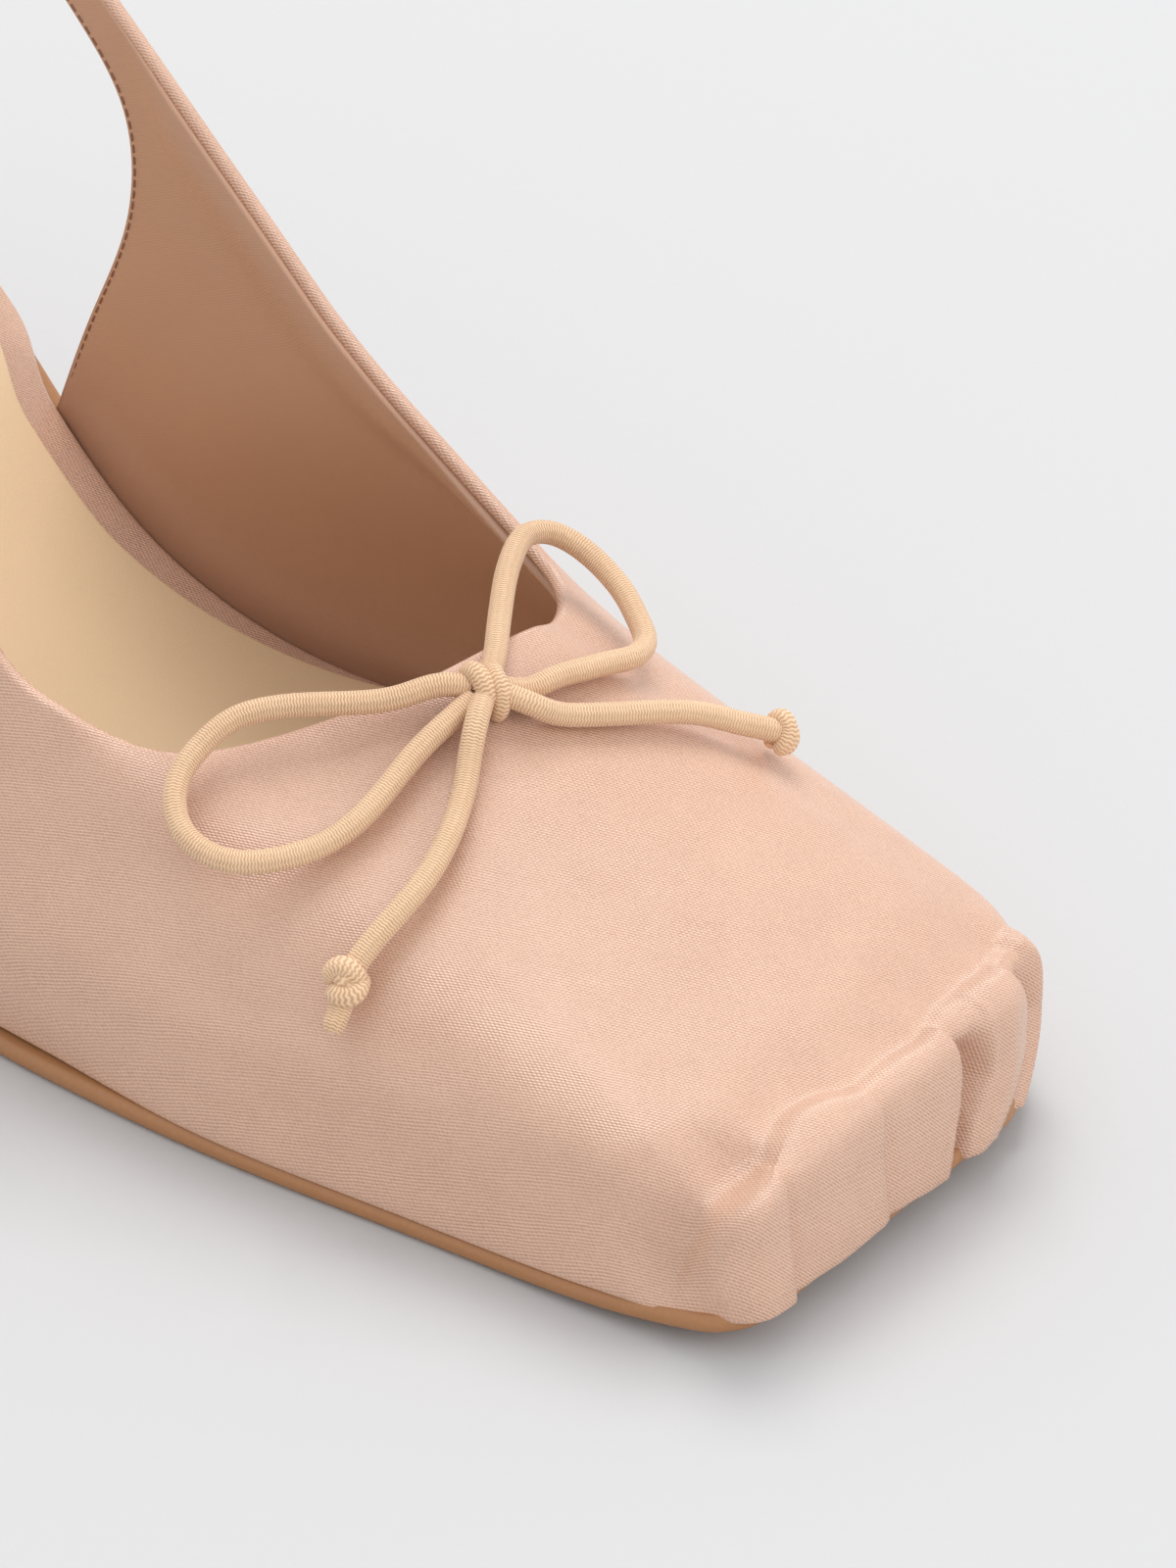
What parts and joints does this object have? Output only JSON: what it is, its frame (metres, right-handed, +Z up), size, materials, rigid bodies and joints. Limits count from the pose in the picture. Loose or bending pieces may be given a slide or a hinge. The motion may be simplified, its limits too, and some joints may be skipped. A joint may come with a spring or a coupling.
{
  "type": "slingback pump",
  "caption": "Satin slingback pump with a gathered square toe, a tapered covered heel and a round cord bow at the throat.",
  "frame": {"origin": "on the floor, under the middle of the shoe", "axes": "+X towards the toe, +Y towards the inner side of the foot, +Z up"},
  "size_m": [0.232, 0.0776, 0.1242],
  "materials": {
    "satin": "pink nude satin",
    "sole_leather": "tan sole leather",
    "sock_leather": "cream sock leather",
    "tip_rubber": "brown heel rubber",
    "cord": "ribbed nude cord"
  },
  "bodies": {
    "root": {"outsole": "sole_leather", "heel": "satin", "heel_tip": "tip_rubber", "insole_board": "satin", "insole_sock": "sock_leather", "upper": "satin", "bow_knot": "cord", "bow_loop_near": "cord", "bow_loop_far": "cord", "bow_tail_near": "cord", "bow_tail_far": "cord", "end_knot_near": "cord", "end_knot_far": "cord"}
  },
  "joints": []
}
